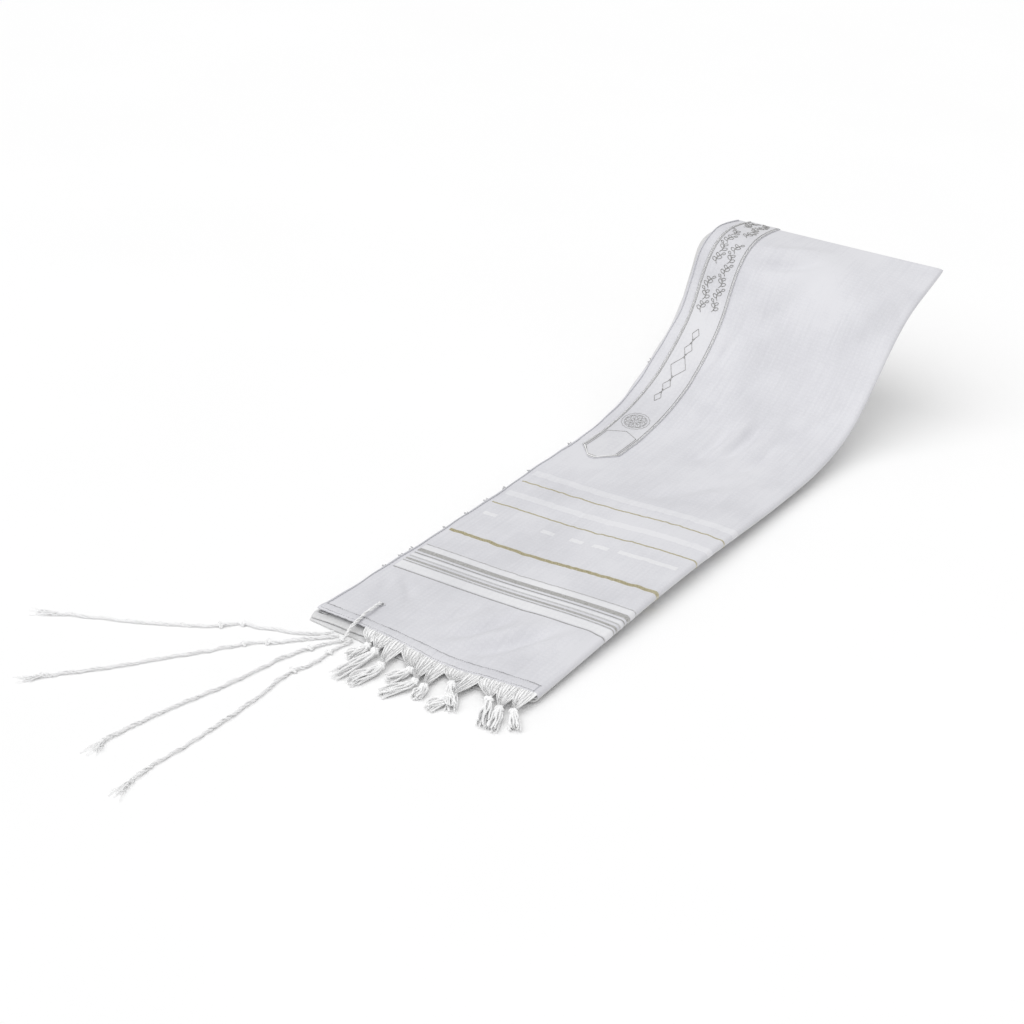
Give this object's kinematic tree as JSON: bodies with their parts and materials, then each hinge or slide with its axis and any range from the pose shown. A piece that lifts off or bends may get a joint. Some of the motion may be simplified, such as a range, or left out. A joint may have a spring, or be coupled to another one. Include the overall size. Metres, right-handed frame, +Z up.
{
  "type": "folded tallit prayer shawl",
  "caption": "Prayer shawl folded in quarters with an embroidered neckband, woven metallic stripes, knotted fringe and corner tassels, its far end raised in a soft S",
  "frame": {"origin": "on the surface, under the middle of the box of the cloth and fringe without the corner tassels", "axes": "+Y along the folded length from the near hem to the raised far fold, +X across the folded width from the open neckband edge to the lengthwise fold, +Z up"},
  "size_m": [0.4681, 1.1438, 0.1761],
  "materials": {
    "cloth": "plain-woven white cloth with satin, silver and gold stripes",
    "hem": "ribbed turned hem with two rows of grey stitching",
    "neckband": "white satin band with silver-thread embroidery",
    "fringe": "soft white twisted yarn, knotted",
    "cord": "white twisted wool thread"
  },
  "bodies": {
    "root": {"top_panel": "cloth", "hidden_layers": "cloth", "near_hem": "hem", "neckband": "neckband", "fringe": "fringe", "tassel_1": "cord", "tassel_2": "cord", "tassel_3": "cord", "tassel_4": "cord"}
  },
  "joints": []
}
